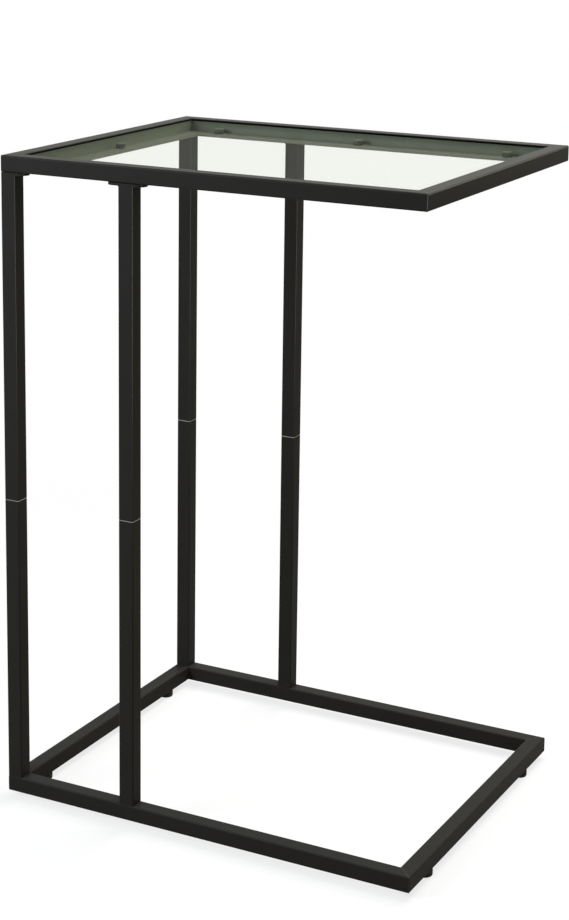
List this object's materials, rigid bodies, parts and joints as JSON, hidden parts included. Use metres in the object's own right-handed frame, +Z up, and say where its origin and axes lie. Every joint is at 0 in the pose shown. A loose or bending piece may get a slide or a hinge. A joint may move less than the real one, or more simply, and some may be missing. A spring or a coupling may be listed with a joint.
{
  "type": "c-shaped side table",
  "caption": "C-shaped side table: square-tube steel base and top frame joined by split legs on one side, with a recessed clear glass top and screw-in levelling feet.",
  "frame": {"origin": "on the floor, under the middle of the table's outline", "axes": "+Z up, +X from the leg side to the open side, +Y to the far side"},
  "size_m": [0.442, 0.356, 0.656],
  "materials": {
    "powder_coat": "satin black powder coat on steel tube and plate",
    "glass": "clear tempered glass with a faint green tint",
    "bumper_rubber": "soft matte black rubber",
    "foot_plastic": "matte black nylon",
    "zinc_steel": "zinc-plated steel",
    "black_screw": "black oxide steel"
  },
  "bodies": {
    "frame": {"base_bolts": "zinc_steel", "base_rail_far": "powder_coat", "base_rail_leg_side": "powder_coat", "base_rail_near": "powder_coat", "base_rail_open_side": "powder_coat", "foot_rivet_nuts": "zinc_steel", "glass_bumpers": "bumper_rubber", "glass_ledge_far": "powder_coat", "glass_ledge_leg_side": "powder_coat", "glass_ledge_near": "powder_coat", "glass_ledge_open_side": "powder_coat", "leg_joining_studs": "zinc_steel", "leg_plate_far_corner": "powder_coat", "leg_plate_far_inner": "powder_coat", "leg_plate_near_corner": "powder_coat", "leg_plate_near_inner": "powder_coat", "lower_leg_base_inserts": "zinc_steel", "lower_leg_far_corner": "powder_coat", "lower_leg_far_inner": "powder_coat", "lower_leg_near_corner": "powder_coat", "lower_leg_near_inner": "powder_coat", "lower_leg_seam_inserts": "zinc_steel", "plate_rivet_nuts": "black_screw", "plate_screws": "black_screw", "top_rail_far": "powder_coat", "top_rail_leg_side": "powder_coat", "top_rail_near": "powder_coat", "top_rail_open_side": "powder_coat", "upper_leg_far_corner": "powder_coat", "upper_leg_far_inner": "powder_coat", "upper_leg_inserts": "zinc_steel", "upper_leg_near_corner": "powder_coat", "upper_leg_near_inner": "powder_coat"},
    "glass": {"glass_top": "glass"},
    "pad_near_leg_side": {"foot_pad_near_leg_side": "foot_plastic"},
    "stud_near_leg_side": {"foot_stud_near_leg_side": "zinc_steel"},
    "pad_near_open_side": {"foot_pad_near_open_side": "foot_plastic"},
    "stud_near_open_side": {"foot_stud_near_open_side": "zinc_steel"},
    "pad_far_leg_side": {"foot_pad_far_leg_side": "foot_plastic"},
    "stud_far_leg_side": {"foot_stud_far_leg_side": "zinc_steel"},
    "pad_far_open_side": {"foot_pad_far_open_side": "foot_plastic"},
    "stud_far_open_side": {"foot_stud_far_open_side": "zinc_steel"}
  },
  "joints": [
    {"name": "glass_lift", "type": "slide", "parent": "frame", "child": "glass", "axis": [0, 0, 1], "range_m": [0, 0.06]},
    {"name": "foot_travel_near_leg_side", "type": "slide", "parent": "frame", "child": "pad_near_leg_side", "axis": [0, 0, -1], "range_m": [0, 0.008]},
    {"name": "foot_screw_near_leg_side", "type": "hinge", "parent": "pad_near_leg_side", "child": "stud_near_leg_side", "pos_m": [-0.213, -0.124, 0], "axis": [0, 0, -1], "range_deg": [0, 2880]},
    {"name": "foot_travel_near_open_side", "type": "slide", "parent": "frame", "child": "pad_near_open_side", "axis": [0, 0, -1], "range_m": [0, 0.008]},
    {"name": "foot_screw_near_open_side", "type": "hinge", "parent": "pad_near_open_side", "child": "stud_near_open_side", "pos_m": [0.213, -0.124, 0], "axis": [0, 0, -1], "range_deg": [0, 2880]},
    {"name": "foot_travel_far_leg_side", "type": "slide", "parent": "frame", "child": "pad_far_leg_side", "axis": [0, 0, -1], "range_m": [0, 0.008]},
    {"name": "foot_screw_far_leg_side", "type": "hinge", "parent": "pad_far_leg_side", "child": "stud_far_leg_side", "pos_m": [-0.213, 0.124, 0], "axis": [0, 0, -1], "range_deg": [0, 2880]},
    {"name": "foot_travel_far_open_side", "type": "slide", "parent": "frame", "child": "pad_far_open_side", "axis": [0, 0, -1], "range_m": [0, 0.008]},
    {"name": "foot_screw_far_open_side", "type": "hinge", "parent": "pad_far_open_side", "child": "stud_far_open_side", "pos_m": [0.213, 0.124, 0], "axis": [0, 0, -1], "range_deg": [0, 2880]}
  ],
  "couplings": [
    {"joint": "foot_screw_near_leg_side", "follows": "foot_travel_near_leg_side", "rad_per_m": 6283.1},
    {"joint": "foot_screw_near_open_side", "follows": "foot_travel_near_open_side", "rad_per_m": 6283.1},
    {"joint": "foot_screw_far_leg_side", "follows": "foot_travel_far_leg_side", "rad_per_m": 6283.1},
    {"joint": "foot_screw_far_open_side", "follows": "foot_travel_far_open_side", "rad_per_m": 6283.1}
  ]
}
